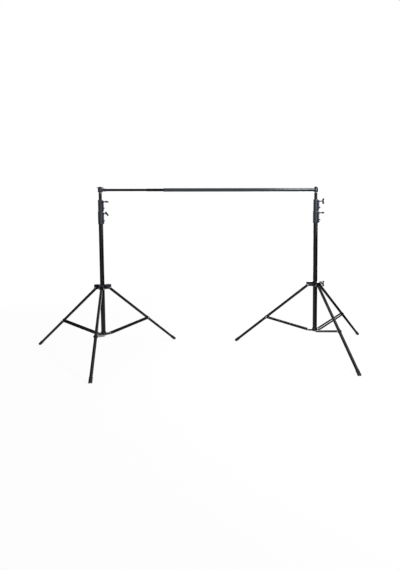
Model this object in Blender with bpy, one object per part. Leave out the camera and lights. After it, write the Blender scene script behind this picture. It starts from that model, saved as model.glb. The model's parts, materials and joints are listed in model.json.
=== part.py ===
"""Backdrop support: two tripod light stands that carry a telescopic crossbar.

Metres, +Z up, +X along the crossbar, +Y away from the viewer. The origin lies on
the floor, under the middle of the footprint.
"""

import math

import bmesh
import bpy
from mathutils import Matrix

# Gaps between neighbouring pieces
TOUCH_GAP = 0.0003
SLIDE_GAP = 0.0004
PIVOT_GAP = 0.0005

# Column tubes, each stage sliding inside the one below
LOWER_D = 0.035
COLUMN_WALL = 0.0015
STAGE_GAP = 0.001
MIDDLE_CLEAR = 0.0462
TOP_CLEAR = 0.033

# Heights along the column
COLLAR_SEAM_Z = 1.127
LOWER_COLLAR_H = 0.098
UPPER_COLLAR_H = 0.092
TOP_SHOWN = 0.050
HUB_Z = 0.5252
BRACE_HUB_Z = 0.1516

# Clamp collars
COLLAR_WALL = 0.0036
COLLAR_RIB_R = 0.028
COLLAR_RIB_W = 0.017
COLLAR_EDGE = 0.0025
COLLAR_GRIP = 0.033
KNOB_DROP = 0.0165
CLAMP_BOSS_R = 0.0065
CLAMP_BOSS_REACH = 0.033
SCREW_HEAD_R = 0.005
SCREW_HEAD_REACH = 0.0365
UPPER_SCREWS = ((0.026, SCREW_HEAD_REACH),)
LOWER_SCREWS = ((0.010, CLAMP_BOSS_REACH - 0.002), (0.027, SCREW_HEAD_REACH))

# Clamp knobs with a cross handle: two flat lobes, bowed to one side
CLAMP_SCREW_R = 0.004
HANDLE_REACH = 0.058
HANDLE_L = 0.046
LOBE_HALF_W = 0.0078
LOBE_HALF_T = 0.0046
WAIST_HALF_W = 0.0046
WAIST_HALF_T = 0.0042
HANDLE_BOW = 0.005
HANDLE_HUB_R = 0.0075
HANDLE_HUB_L = 0.010
HUB_KNOB_REACH = 0.064
HUB_KNOB_RISE = 0.012

# Leg hub that slides on the column
PIVOT_R = 0.055
HUB_WALL = 0.0045
HUB_ABOVE = 0.0265
HUB_BELOW = 0.0125
HUB_BOSS_R = 0.009
HUB_BOSS_REACH = 0.040
CHEEK_T = 0.0054
ARM_END = 0.0135
ARM_ROOT = 0.028
ARM_NOSE_R = 0.011
WEB_T = 0.012
BOLT_R = 0.0036
BOLT_HEAD_R = 0.0065
BOLT_HEAD_T = 0.004

# Legs and feet
LEG_D = 0.022
LEG_WALL = 0.0012
LEG_LENGTH = 0.800
LEG_HEAD = 0.008
LEG_JOINT = 0.4545
FOOT_Z = 0.012
FOOT_WALL = 0.0012
FOOT_SLEEVE = 0.030
FOOT_TOE = 0.012
LEG_COUNT = 3

# Braces: two flat strips on one lower pin
STRIP_T = 0.002
STRIP_H = 0.0155
STRIP_SIDE_GAP = 0.0004
PIN_R = 0.0032
PIN_HEAD_R = 0.0055
PIN_HEAD_T = 0.0025
BUSH_R = 0.0072

# Brace hub fixed at the foot of the column
BRACE_HUB_WALL = 0.0037
BRACE_HUB_ABOVE = 0.0209
BRACE_HUB_BELOW = 0.0085
TONGUE_H = 0.015
PLUG_FLANGE_T = 0.003
PLUG_STEM_L = 0.014

# Stud at the top of each stand
STUD_FLANGE_T = 0.002
STUD_NECK_R = 0.008
STUD_NECK_H = 0.0065
STUD_PIN_R = 0.006
STUD_THREAD_R = 0.004
STUD_PLUG_L = 0.040

# Crossbar end fittings and their wing knobs
FITTING_R = 0.018
FITTING_DROP = 0.018
FITTING_RISE = 0.0147
FITTING_EDGE = 0.0025
SOCKET_LIP = 0.001
SPLINE_L = 0.042
SLEEVE_L = 0.030
SLEEVE_ROOT_R = 0.0130
SLEEVE_WALL = 0.0012
WING_SPAN = 0.060
WING_CORE_R = 0.0125
WING_CORE_H = 0.0105
WING_ROOT_W = 0.018
WING_TIP_W = 0.009
WING_ROOT_T = 0.0060
WING_TIP_T = 0.0036
WING_ROOT_RISE = 0.0052
WING_DROOP = 0.0038
WING_THREAD_DEPTH = 0.0075

# Crossbar tubes, from the thick section on the right to the thin one on the left
BAR_D = 0.028
BAR_WALL = 0.001
BAR_GAP = 0.0005
THICK_LENGTH = 1.205
CORE_LENGTH = 0.95
SLIM_LENGTH = 0.85
THIN_LENGTH = 0.80
CORE_SHOWN = 0.002
SLIM_SHOWN = 0.134
THIN_SHOWN = 0.313

# How each stand and each knob is turned, in degrees
STAND_TURN = {"left": 154.46, "right": 155.96}
UPPER_KNOB_TURN = {"left": -90.0, "right": 0.0}
LOWER_KNOB_TURN = {"left": -130.0, "right": -90.0}
HUB_KNOB_TURN = {"left": -90.0, "right": -15.0}
WING_TURN = {"left": 0.0, "right": 90.0}

# Sides of the round pieces
COLUMN_SIDES = 20
LEG_SIDES = 12
PIN_SIDES = 8

# Sizes that follow from the ones above
lower_r = LOWER_D / 2
column_bore_r = lower_r - COLUMN_WALL
middle_r = column_bore_r - STAGE_GAP
middle_bore_r = middle_r - COLUMN_WALL
top_r = middle_bore_r - STAGE_GAP
top_bore_r = top_r - COLUMN_WALL
lower_collar_z = COLLAR_SEAM_Z - LOWER_COLLAR_H
upper_collar_z = COLLAR_SEAM_Z + TOUCH_GAP
upper_collar_top = upper_collar_z + UPPER_COLLAR_H
column_top = COLLAR_SEAM_Z - COLLAR_GRIP
middle_top = upper_collar_top - COLLAR_GRIP
lower_knob_z = COLLAR_SEAM_Z - KNOB_DROP
upper_knob_z = upper_collar_top - KNOB_DROP
top_tube_top = upper_collar_top + TOP_SHOWN
stud_shoulder = top_tube_top + TOUCH_GAP + STUD_FLANGE_T + STUD_NECK_H
bar_z = stud_shoulder + TOUCH_GAP + FITTING_DROP
hub_knob_z = HUB_Z + HUB_KNOB_RISE

leg_r = LEG_D / 2
leg_tilt = math.acos((HUB_Z - FOOT_Z) / LEG_LENGTH)
foot_reach = PIVOT_R + LEG_LENGTH * math.sin(leg_tilt)
joint_reach = LEG_JOINT * math.sin(leg_tilt)
joint_rise = HUB_Z - LEG_JOINT * math.cos(leg_tilt) - BRACE_HUB_Z
brace_length = math.hypot(joint_reach, joint_rise)
brace_tilt = math.atan2(joint_reach, joint_rise)
foot_r = leg_r + TOUCH_GAP + FOOT_WALL
strip_inner = foot_r + STRIP_SIDE_GAP
strip_outer = strip_inner + STRIP_T
tongue_half = strip_inner - TOUCH_GAP
cheek_inner = leg_r + SLIDE_GAP
cheek_outer = cheek_inner + CHEEK_T
brace_hub_bottom = BRACE_HUB_Z - BRACE_HUB_BELOW
column_bottom = brace_hub_bottom + PLUG_FLANGE_T + TOUCH_GAP
middle_bottom = brace_hub_bottom + PLUG_FLANGE_T + PLUG_STEM_L + MIDDLE_CLEAR
top_bottom = middle_bottom + TOP_CLEAR

bar_r = {"thick": BAR_D / 2}
bar_r["core"] = bar_r["thick"] - BAR_WALL - BAR_GAP
bar_r["slim"] = bar_r["core"] - BAR_WALL - BAR_GAP
bar_r["thin"] = bar_r["slim"] - BAR_WALL - BAR_GAP
socket_face = FITTING_R + SOCKET_LIP
sleeve_end = FITTING_R + SLEEVE_L
span = sleeve_end + THIN_SHOWN + SLIM_SHOWN + CORE_SHOWN + THICK_LENGTH + TOUCH_GAP + socket_face


def turned(profile, sides, ring=False):
    """A solid turned about Z from (radius, height) points; ring closes a hollow profile."""
    bm = bmesh.new()
    verts = [bm.verts.new((radius, 0, height)) for radius, height in profile]
    edges = [bm.edges.new(pair) for pair in zip(verts, verts[1:])]
    if ring:
        edges.append(bm.edges.new((verts[-1], verts[0])))
    bmesh.ops.spin(bm, geom=verts + edges, cent=(0, 0, 0), axis=(0, 0, 1),
                   angle=math.tau, steps=sides, use_merge=True)
    return finished(bm)


def rod(radius, low, high, sides=PIN_SIDES):
    """A solid cylinder along Z."""
    return turned([(0, low), (radius, low), (radius, high), (0, high)], sides)


def pipe(outer, inner, low, high, sides=COLUMN_SIDES):
    """A tube along Z, open at both ends."""
    return turned([(outer, low), (outer, high), (inner, high), (inner, low)], sides, ring=True)


def slab(points, low, high):
    """A flat plate: an outline in X and Z, extruded along Y."""
    bm = bmesh.new()
    face = bm.faces.new([bm.verts.new((x, low, z)) for x, z in points])
    grown = bmesh.ops.extrude_face_region(bm, geom=[face])["geom"]
    lifted = [item for item in grown if isinstance(item, bmesh.types.BMVert)]
    bmesh.ops.translate(bm, verts=lifted, vec=(0, high - low, 0))
    return finished(bm)


def lofted(sections, sides):
    """A bar along Y through elliptic sections: (y, x, z, half width in X, half height in Z)."""
    bm = bmesh.new()
    rings = []
    for y, x, z, wide, tall in sections:
        ring = []
        for step in range(sides):
            angle = math.tau * (step + 0.5) / sides
            across = x + wide * math.cos(angle)
            ring.append(bm.verts.new((across, y, z + tall * math.sin(angle))))
        rings.append(ring)
    for near, far in zip(rings, rings[1:]):
        for step in range(sides):
            after = (step + 1) % sides
            bm.faces.new((near[step], near[after], far[after], far[step]))
    bm.faces.new(rings[0])
    bm.faces.new(rings[-1])
    return finished(bm)


def finished(bm):
    """The mesh of a bmesh with its seams merged and its faces pointing out."""
    bmesh.ops.remove_doubles(bm, verts=bm.verts[:], dist=1e-6)
    bmesh.ops.recalc_face_normals(bm, faces=bm.faces[:])
    mesh = bpy.data.meshes.new("piece")
    bm.to_mesh(mesh)
    bm.free()
    return mesh


def moved(mesh, *steps):
    """A copy of a mesh, taken through the given matrices in order."""
    copy = mesh.copy()
    for step in steps:
        copy.transform(step)
    return copy


def shift(x=0.0, y=0.0, z=0.0):
    return Matrix.Translation((x, y, z))


def turn(degrees, axis):
    return Matrix.Rotation(math.radians(degrees), 4, axis)


def built(base, adds=(), cuts=()):
    """One solid: the base joined with the adds, then cut by the cuts."""
    body = bpy.data.objects.new("body", base)
    bpy.context.collection.objects.link(body)
    tools = []
    for operation, meshes in (("UNION", adds), ("DIFFERENCE", cuts)):
        for mesh in meshes:
            tool = bpy.data.objects.new("tool", mesh)
            bpy.context.collection.objects.link(tool)
            step = body.modifiers.new("step", "BOOLEAN")
            step.operation = operation
            step.solver = "EXACT"
            step.object = tool
            tools.append(tool)
    graph = bpy.context.evaluated_depsgraph_get()
    result = bpy.data.meshes.new_from_object(body.evaluated_get(graph))
    for item in [body] + tools:
        bpy.data.objects.remove(item)
    bm = bmesh.new()
    bm.from_mesh(result)
    bmesh.ops.dissolve_limit(bm, angle_limit=math.radians(0.05), verts=bm.verts[:],
                             edges=bm.edges[:])
    bm.to_mesh(result)
    bm.free()
    return result


def arc(x, z, radius, first, last, count):
    """Points on an arc in X and Z, angles in degrees from +X toward +Z."""
    points = []
    for step in range(count + 1):
        angle = math.radians(first + (last - first) * step / count)
        points.append((x + radius * math.cos(angle), z + radius * math.sin(angle)))
    return points


def paint(name, colour, roughness, metallic):
    """A Principled material."""
    material = bpy.data.materials.new(name)
    material.use_nodes = True
    shader = material.node_tree.nodes["Principled BSDF"]
    shader.inputs["Base Color"].default_value = (*colour, 1)
    shader.inputs["Roughness"].default_value = roughness
    shader.inputs["Metallic"].default_value = metallic
    material.diffuse_color = (*colour, 1)
    return material


def frame(name, parent=None, location=(0, 0, 0), turn_z=0.0):
    """An empty that carries pieces."""
    empty = bpy.data.objects.new(name, None)
    bpy.context.collection.objects.link(empty)
    empty.parent = parent
    empty.location = location
    empty.rotation_euler = (0, 0, math.radians(turn_z))
    return empty


def place(name, mesh, look, parent, location=(0, 0, 0), rotation=(0, 0, 0)):
    """One named piece with its own copy of a material."""
    piece = bpy.data.objects.new(name, mesh)
    bpy.context.collection.objects.link(piece)
    piece.parent = parent
    piece.location = location
    piece.rotation_euler = rotation
    mesh.materials.clear()
    mesh.materials.append(None)
    piece.material_slots[0].link = "OBJECT"
    piece.material_slots[0].material = look.copy()
    piece.material_slots[0].material.name = name
    mesh.shade_smooth()
    mesh.set_sharp_from_angle(angle=math.radians(35))
    return piece


# Pieces shared by both stands, each in its own local frame

# A rod along the clamp side: out from the column along local -X
OUTWARD = turn(-90, "Y")


def side_rod(radius, low, high, z):
    """A rod that stands out from the column on its clamp side."""
    return moved(rod(radius, low, high), OUTWARD, shift(z=z))


def cross_rod(radius, half, x=0.0, z=0.0, sides=PIN_SIDES):
    """A rod along Y, centred on the radial plane."""
    return moved(rod(radius, -half, half, sides), turn(90, "X"), shift(x=x, z=z))


def collar(height, low_r, high_r, screws, sides=COLUMN_SIDES):
    """A clamp collar: low bore on the tube it is fixed to, high bore on the tube it grips."""
    low_bore = low_r + TOUCH_GAP
    high_bore = high_r + TOUCH_GAP
    outer = low_bore + COLLAR_WALL
    grip_z = height - COLLAR_GRIP + TOUCH_GAP
    body = turned([
        (outer - COLLAR_EDGE / 2, 0),
        (outer, COLLAR_EDGE),
        (outer, height - COLLAR_EDGE),
        (outer - COLLAR_EDGE, height),
        (high_bore, height),
        (high_bore, grip_z),
        (low_bore, grip_z),
        (low_bore, 0),
    ], sides, ring=True)
    rib_root = -(low_bore + COLLAR_WALL / 2)
    shoulder = COLLAR_RIB_R - outer
    rib = slab([
        (rib_root, COLLAR_EDGE),
        (-COLLAR_RIB_R + COLLAR_EDGE, COLLAR_EDGE),
        (-COLLAR_RIB_R, 2 * COLLAR_EDGE),
        (-COLLAR_RIB_R, height - 2 * shoulder),
        (-COLLAR_RIB_R + shoulder / 3, height - shoulder),
        (-outer, height - COLLAR_EDGE),
        (rib_root, height - COLLAR_EDGE),
    ], -COLLAR_RIB_W / 2, COLLAR_RIB_W / 2)
    knob_z = height - KNOB_DROP
    adds = [rib, side_rod(CLAMP_BOSS_R, outer, CLAMP_BOSS_REACH, knob_z)]
    adds += [side_rod(SCREW_HEAD_R, outer, reach, rise) for rise, reach in screws]
    hole = side_rod(CLAMP_SCREW_R + PIVOT_GAP, high_bore / 2, 2 * CLAMP_BOSS_REACH, knob_z)
    return built(body, adds, [hole])


def knob(tip, reach):
    """A clamp screw along Z with a cross handle along Y; tip and reach run from the column axis."""
    sections = []
    for share, swell in ((-1.0, 0.5), (-0.9, 0.85), (-0.66, 1.0), (-0.3, 0.0),
                         (0.3, 0.0), (0.66, 1.0), (0.9, 0.85), (1.0, 0.5)):
        wide = LOBE_HALF_T * swell if swell else WAIST_HALF_T
        tall = LOBE_HALF_W * swell if swell else WAIST_HALF_W
        bow = HANDLE_BOW * (1 / 3 - share ** 2)
        sections.append((HANDLE_L / 2 * share, bow, reach, wide, tall))
    handle = lofted(sections, PIN_SIDES)
    stem = turned([
        (0, tip),
        (CLAMP_SCREW_R, tip),
        (CLAMP_SCREW_R, reach - HANDLE_HUB_L),
        (HANDLE_HUB_R, reach - HANDLE_HUB_L),
        (HANDLE_HUB_R * 0.8, reach + WAIST_HALF_W),
        (0, reach + WAIST_HALF_W),
    ], PIN_SIDES)
    return built(handle, [stem])


def leg_hub():
    """The sliding hub: a sleeve with three forked arms and a boss for its clamp knob."""
    sleeve_r = lower_r + SLIDE_GAP + HUB_WALL
    low = -HUB_BELOW
    high = HUB_ABOVE
    sleeve = rod(sleeve_r, low, high, COLUMN_SIDES)
    end = PIVOT_R + ARM_END
    outline = [(sleeve_r / 2, high - TOUCH_GAP), (end - WEB_T / 4, high - TOUCH_GAP)]
    outline += [(end, high - WEB_T / 4), (end, 0)]
    outline += arc(PIVOT_R, 0, ARM_NOSE_R, -20, -90, 4)
    outline += [(sleeve_r / 2, -ARM_NOSE_R)]
    arm = slab(outline, -cheek_outer, cheek_outer)
    fork = slab([
        (ARM_ROOT, high - WEB_T),
        (2 * end, high - WEB_T),
        (2 * end, 2 * low),
        (ARM_ROOT, 2 * low),
    ], -cheek_inner, cheek_inner)
    hole = cross_rod(BOLT_R + PIVOT_GAP, 2 * cheek_outer, x=PIVOT_R)
    adds = []
    cuts = []
    for step in range(LEG_COUNT):
        way = turn(360 * step / LEG_COUNT, "Z")
        adds.append(moved(arm, way))
        cuts += [moved(fork, way), moved(hole, way)]
    adds.append(side_rod(HUB_BOSS_R, sleeve_r / 2, HUB_BOSS_REACH, HUB_KNOB_RISE))
    cuts.append(rod(lower_r + SLIDE_GAP, 2 * low, 2 * high, COLUMN_SIDES))
    cuts.append(side_rod(CLAMP_SCREW_R + PIVOT_GAP, lower_r / 2, 2 * HUB_BOSS_REACH, HUB_KNOB_RISE))
    return built(sleeve, adds, cuts)


def brace_hub():
    """The fixed hub: a sleeve with a tongue for each brace, centred on the brace pivots."""
    sleeve_r = lower_r + TOUCH_GAP + BRACE_HUB_WALL
    sleeve = rod(sleeve_r, -BRACE_HUB_BELOW, BRACE_HUB_ABOVE, COLUMN_SIDES)
    half = TONGUE_H / 2
    outline = [(sleeve_r / 2, half)] + arc(PIVOT_R, 0, half, 90, -90, 6) + [(sleeve_r / 2, -half)]
    tongue = slab(outline, -tongue_half, tongue_half)
    hole = cross_rod(PIN_R + PIVOT_GAP, 2 * tongue_half, x=PIVOT_R)
    ways = [turn(360 * step / LEG_COUNT, "Z") for step in range(LEG_COUNT)]
    bore = rod(lower_r + TOUCH_GAP, -2 * BRACE_HUB_BELOW, 2 * BRACE_HUB_ABOVE, COLUMN_SIDES)
    adds = [moved(tongue, way) for way in ways]
    cuts = [moved(hole, way) for way in ways] + [bore]
    return built(sleeve, adds, cuts)


def leg():
    """A leg tube that hangs along -Z from its pivot, with the bush of its brace joint."""
    tube = pipe(leg_r, leg_r - LEG_WALL, -LEG_LENGTH, LEG_HEAD, LEG_SIDES)
    bush = cross_rod(BUSH_R, tongue_half, z=-LEG_JOINT)
    hole = cross_rod(BOLT_R + PIVOT_GAP, LEG_D)
    return built(tube, [bush], [hole])


def foot():
    """The cap on the end of a leg, cut flat where it stands on the floor."""
    seat = -LEG_LENGTH - TOUCH_GAP
    cup = turned([
        (0, seat - FOOT_TOE),
        (foot_r, seat - FOOT_TOE),
        (foot_r, seat + FOOT_SLEEVE),
        (leg_r + TOUCH_GAP, seat + FOOT_SLEEVE),
        (leg_r + TOUCH_GAP, seat),
        (0, seat),
    ], LEG_SIDES)
    bm = bmesh.new()
    bm.from_mesh(cup)
    up = (math.sin(leg_tilt), 0, math.cos(leg_tilt))
    floor = (0, 0, -HUB_Z / math.cos(leg_tilt))
    bmesh.ops.bisect_plane(bm, geom=bm.verts[:] + bm.edges[:] + bm.faces[:], dist=1e-7,
                           plane_co=floor, plane_no=up, clear_inner=True)
    rim = [edge for edge in bm.edges if edge.is_boundary]
    bmesh.ops.holes_fill(bm, edges=rim)
    return finished(bm)


def brace():
    """Two strips that rise along +Z from the lower pin, with rivet heads at the leg joint."""
    half = STRIP_H / 2
    outline = arc(0, brace_length, half, 0, 180, 5) + arc(0, 0, half, 180, 360, 5)
    near = slab(outline, -strip_outer, -strip_inner)
    far = slab(outline, strip_inner, strip_outer)
    pin = cross_rod(PIN_R, strip_outer - STRIP_T / 2)
    adds = [far, pin]
    for rise in (0, brace_length):
        for side in (-1, 1):
            head = moved(rod(PIN_HEAD_R, strip_outer - STRIP_T / 2, strip_outer + PIN_HEAD_T),
                         turn(-90 * side, "X"), shift(z=rise))
            adds.append(head)
    return built(near, adds)


def leg_bolt():
    """The bolt through a fork of the leg hub, along Y, with a six-sided head and nut."""
    head = cheek_outer + TOUCH_GAP
    shaft = rod(BOLT_R, -head - BOLT_HEAD_T / 2, head + BOLT_HEAD_T / 2)
    ends = [rod(BOLT_HEAD_R, head, head + BOLT_HEAD_T, 6),
            rod(BOLT_HEAD_R, -head - BOLT_HEAD_T, -head, 6)]
    return moved(built(shaft, ends), turn(90, "X"))


def stud():
    """The metal stud on the top tube: plug, flange, neck, bar pin and thread."""
    flange = TOUCH_GAP + STUD_FLANGE_T
    neck = flange + STUD_NECK_H
    seat = neck + TOUCH_GAP + FITTING_DROP + FITTING_RISE
    thread = seat + WING_THREAD_DEPTH
    plug_r = top_bore_r - TOUCH_GAP
    return turned([
        (0, -STUD_PLUG_L),
        (plug_r, -STUD_PLUG_L),
        (plug_r, TOUCH_GAP),
        (top_r, TOUCH_GAP),
        (top_r, flange),
        (STUD_NECK_R, flange),
        (STUD_NECK_R, neck),
        (STUD_PIN_R, neck),
        (STUD_PIN_R, seat),
        (STUD_THREAD_R, seat),
        (STUD_THREAD_R, thread),
        (0, thread),
    ], COLUMN_SIDES)


def plug():
    """The end plug under the column tube."""
    stem_r = column_bore_r - TOUCH_GAP
    stem_z = PLUG_FLANGE_T
    return turned([
        (0, 0),
        (lower_r, 0),
        (lower_r, stem_z),
        (stem_r, stem_z),
        (stem_r, stem_z + PLUG_STEM_L),
        (0, stem_z + PLUG_STEM_L),
    ], COLUMN_SIDES)


def fitting_core():
    """The upright barrel of an end fitting, about the bar axis height."""
    return turned([
        (0, -FITTING_DROP),
        (FITTING_R - FITTING_EDGE, -FITTING_DROP),
        (FITTING_R, -FITTING_DROP + FITTING_EDGE),
        (FITTING_R, FITTING_RISE - FITTING_EDGE),
        (FITTING_R - FITTING_EDGE, FITTING_RISE),
        (0, FITTING_RISE),
    ], COLUMN_SIDES)


def fitting_bore():
    return rod(STUD_PIN_R + PIVOT_GAP, -2 * FITTING_DROP, 2 * FITTING_RISE, COLUMN_SIDES)


def right_fitting():
    """The fitting with a spline inside the thick bar section, on local -X."""
    spline_r = bar_r["thick"] - BAR_WALL - TOUCH_GAP
    spline = turned([
        (0, FITTING_R / 2),
        (bar_r["thick"], FITTING_R / 2),
        (bar_r["thick"], socket_face),
        (spline_r, socket_face),
        (spline_r, socket_face + SPLINE_L),
        (0, socket_face + SPLINE_L),
    ], COLUMN_SIDES)
    return built(fitting_core(), [moved(spline, OUTWARD)], [fitting_bore()])


def left_fitting():
    """The fitting with a tapered sleeve round the thin bar section, on local +X."""
    bore_r = bar_r["thin"] + TOUCH_GAP
    sleeve = turned([
        (0, FITTING_R / 2),
        (SLEEVE_ROOT_R, FITTING_R / 2),
        (SLEEVE_ROOT_R, FITTING_R),
        (bore_r + SLEEVE_WALL, sleeve_end),
        (0, sleeve_end),
    ], COLUMN_SIDES)
    bore = rod(bore_r, socket_face - TOUCH_GAP - SOCKET_LIP, 2 * sleeve_end, COLUMN_SIDES)
    inward = turn(90, "Y")
    return built(fitting_core(), [moved(sleeve, inward)], [moved(bore, inward), fitting_bore()])


def wing_knob():
    """The nut on the stud with two drooping wings along Y, from its seat upward."""
    core = turned([
        (0, 0),
        (WING_CORE_R, 0),
        (WING_CORE_R, WING_CORE_H * 0.55),
        (WING_CORE_R * 0.72, WING_CORE_H * 0.9),
        (WING_CORE_R * 0.3, WING_CORE_H),
        (0, WING_CORE_H),
    ], COLUMN_SIDES)
    sections = []
    for share in (-1.0, -0.92, -0.6, -0.35, 0.0, 0.35, 0.6, 0.92, 1.0):
        inward = 1 - abs(share)
        end = 1.0 if inward else 0.6
        wide = (WING_TIP_W + (WING_ROOT_W - WING_TIP_W) * inward) / 2 * end
        tall = (WING_TIP_T + (WING_ROOT_T - WING_TIP_T) * inward) / 2 * end
        droop = WING_DROOP * share ** 2
        sections.append((WING_SPAN / 2 * share, 0, WING_ROOT_RISE - droop, wide, tall))
    thread = rod(STUD_THREAD_R + PIVOT_GAP, -WING_THREAD_DEPTH, WING_THREAD_DEPTH + TOUCH_GAP)
    return built(core, [lofted(sections, 6)], [thread])


def bar_tube(section, length):
    """A crossbar tube along +X from its left mouth."""
    tube = pipe(bar_r[section], bar_r[section] - BAR_WALL, 0, length)
    return moved(tube, turn(90, "Y"))


for item in list(bpy.data.objects):
    bpy.data.objects.remove(item)

black_paint = paint("black_paint", (0.012, 0.013, 0.015), 0.28, 0.0)
slate_paint = paint("slate_paint", (0.030, 0.038, 0.050), 0.25, 0.0)
collar_plastic = paint("collar_plastic", (0.035, 0.040, 0.052), 0.42, 0.0)
knob_plastic = paint("knob_plastic", (0.008, 0.008, 0.009), 0.40, 0.0)
foot_rubber = paint("foot_rubber", (0.010, 0.010, 0.010), 0.70, 0.0)
bright_zinc = paint("bright_zinc", (0.62, 0.62, 0.64), 0.25, 1.0)

stage_tubes = {
    "column_tube": pipe(lower_r, column_bore_r, column_bottom, column_top),
    "middle_tube": pipe(middle_r, middle_bore_r, middle_bottom, middle_top),
    "top_tube": pipe(top_r, top_bore_r, top_bottom, top_tube_top),
}
lower_collar = collar(LOWER_COLLAR_H, lower_r, middle_r, LOWER_SCREWS)
upper_collar = collar(UPPER_COLLAR_H, middle_r, top_r, UPPER_SCREWS)
lower_knob = knob(middle_r + TOUCH_GAP, HANDLE_REACH)
upper_knob = knob(top_r + TOUCH_GAP, HANDLE_REACH)
hub_knob = knob(lower_r + TOUCH_GAP, HUB_KNOB_REACH)
hub_mesh = leg_hub()
brace_hub_mesh = brace_hub()
plug_mesh = plug()
stud_mesh = stud()
leg_mesh = leg()
foot_mesh = foot()
brace_mesh = brace()
bolt_mesh = leg_bolt()
wing_mesh = wing_knob()

# The middle of the feet's outline goes over the origin
column_x = {"left": -span / 2, "right": span / 2}
feet = []
for side, x in column_x.items():
    for step in range(LEG_COUNT):
        way = math.radians(STAND_TURN[side] + 360 * step / LEG_COUNT)
        feet.append((x + foot_reach * math.cos(way), foot_reach * math.sin(way)))
middle_x = (min(x for x, y in feet) + max(x for x, y in feet)) / 2
middle_y = (min(y for x, y in feet) + max(y for x, y in feet)) / 2
support = frame("support", location=(-middle_x, -middle_y, 0))


def clamp_pose(z, degrees):
    """Location and rotation of a clamp knob whose screw points out along local -X."""
    pose = OUTWARD @ Matrix.Rotation(math.radians(degrees + 90), 4, "Z")
    return (0, 0, z), pose.to_euler()


for side in ("left", "right"):
    stand = frame(side + "_stand", support, (column_x[side], 0, 0), STAND_TURN[side])
    for name, mesh in stage_tubes.items():
        place(f"{side}_{name}", mesh.copy(), black_paint, stand)
    place(f"{side}_lower_collar", lower_collar.copy(), collar_plastic, stand,
          (0, 0, lower_collar_z))
    place(f"{side}_upper_collar", upper_collar.copy(), collar_plastic, stand,
          (0, 0, upper_collar_z))
    place(f"{side}_lower_knob", lower_knob.copy(), knob_plastic, stand,
          *clamp_pose(lower_knob_z, LOWER_KNOB_TURN[side]))
    place(f"{side}_upper_knob", upper_knob.copy(), knob_plastic, stand,
          *clamp_pose(upper_knob_z, UPPER_KNOB_TURN[side]))
    place(f"{side}_hub_knob", hub_knob.copy(), knob_plastic, stand,
          *clamp_pose(hub_knob_z, HUB_KNOB_TURN[side]))
    place(f"{side}_leg_hub", hub_mesh.copy(), collar_plastic, stand, (0, 0, HUB_Z))
    place(f"{side}_brace_hub", brace_hub_mesh.copy(), collar_plastic, stand,
          (0, 0, BRACE_HUB_Z))
    place(f"{side}_column_plug", plug_mesh.copy(), knob_plastic, stand,
          (0, 0, brace_hub_bottom))
    place(f"{side}_stud", stud_mesh.copy(), bright_zinc, stand, (0, 0, top_tube_top))
    for step in range(LEG_COUNT):
        number = step + 1
        spoke = frame(f"{side}_spoke_{number}", stand, turn_z=360 * step / LEG_COUNT)
        hinge = (PIVOT_R, 0, HUB_Z)
        lean = (0, -leg_tilt, 0)
        place(f"{side}_leg_{number}", leg_mesh.copy(), black_paint, spoke, hinge, lean)
        place(f"{side}_foot_{number}", foot_mesh.copy(), foot_rubber, spoke, hinge, lean)
        place(f"{side}_leg_bolt_{number}", bolt_mesh.copy(), bright_zinc, spoke, hinge)
        place(f"{side}_brace_{number}", brace_mesh.copy(), black_paint, spoke,
              (PIVOT_R, 0, BRACE_HUB_Z), (0, brace_tilt, 0))

crossbar = frame("crossbar", support, (0, 0, bar_z))
for side, mesh in (("left", left_fitting()), ("right", right_fitting())):
    place(f"{side}_bar_fitting", mesh, collar_plastic, crossbar, (column_x[side], 0, 0))
    place(f"{side}_wing_knob", wing_mesh.copy(), knob_plastic, crossbar,
          (column_x[side], 0, FITTING_RISE + TOUCH_GAP),
          (0, 0, math.radians(WING_TURN[side] + 90)))

thin_x = column_x["left"] + FITTING_R + TOUCH_GAP
slim_x = column_x["left"] + sleeve_end + THIN_SHOWN
core_x = slim_x + SLIM_SHOWN
thick_x = core_x + CORE_SHOWN
place("bar_thin", bar_tube("thin", THIN_LENGTH), black_paint, crossbar, (thin_x, 0, 0))
place("bar_slim", bar_tube("slim", SLIM_LENGTH), black_paint, crossbar, (slim_x, 0, 0))
place("bar_core", bar_tube("core", CORE_LENGTH), black_paint, crossbar, (core_x, 0, 0))
place("bar_thick", bar_tube("thick", THICK_LENGTH), slate_paint, crossbar, (thick_x, 0, 0))
bpy.context.view_layer.update()
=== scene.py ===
# %% [markdown]
# # A backdrop support
# Two tripod light stands carry a telescopic crossbar, over which a roll of paper or a cloth is
# hung in a studio. Everything is thin black tube with a few moulded clamps, so the work lies in
# two things: truly round tubes with rolled rims, and small clamps with the right outlines.
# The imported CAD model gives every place, and this script dresses it in finer surfaces.

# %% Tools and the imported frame
import json
import math

import bmesh
import bpy
import numpy as np
from mathutils import Matrix, Vector


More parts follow.
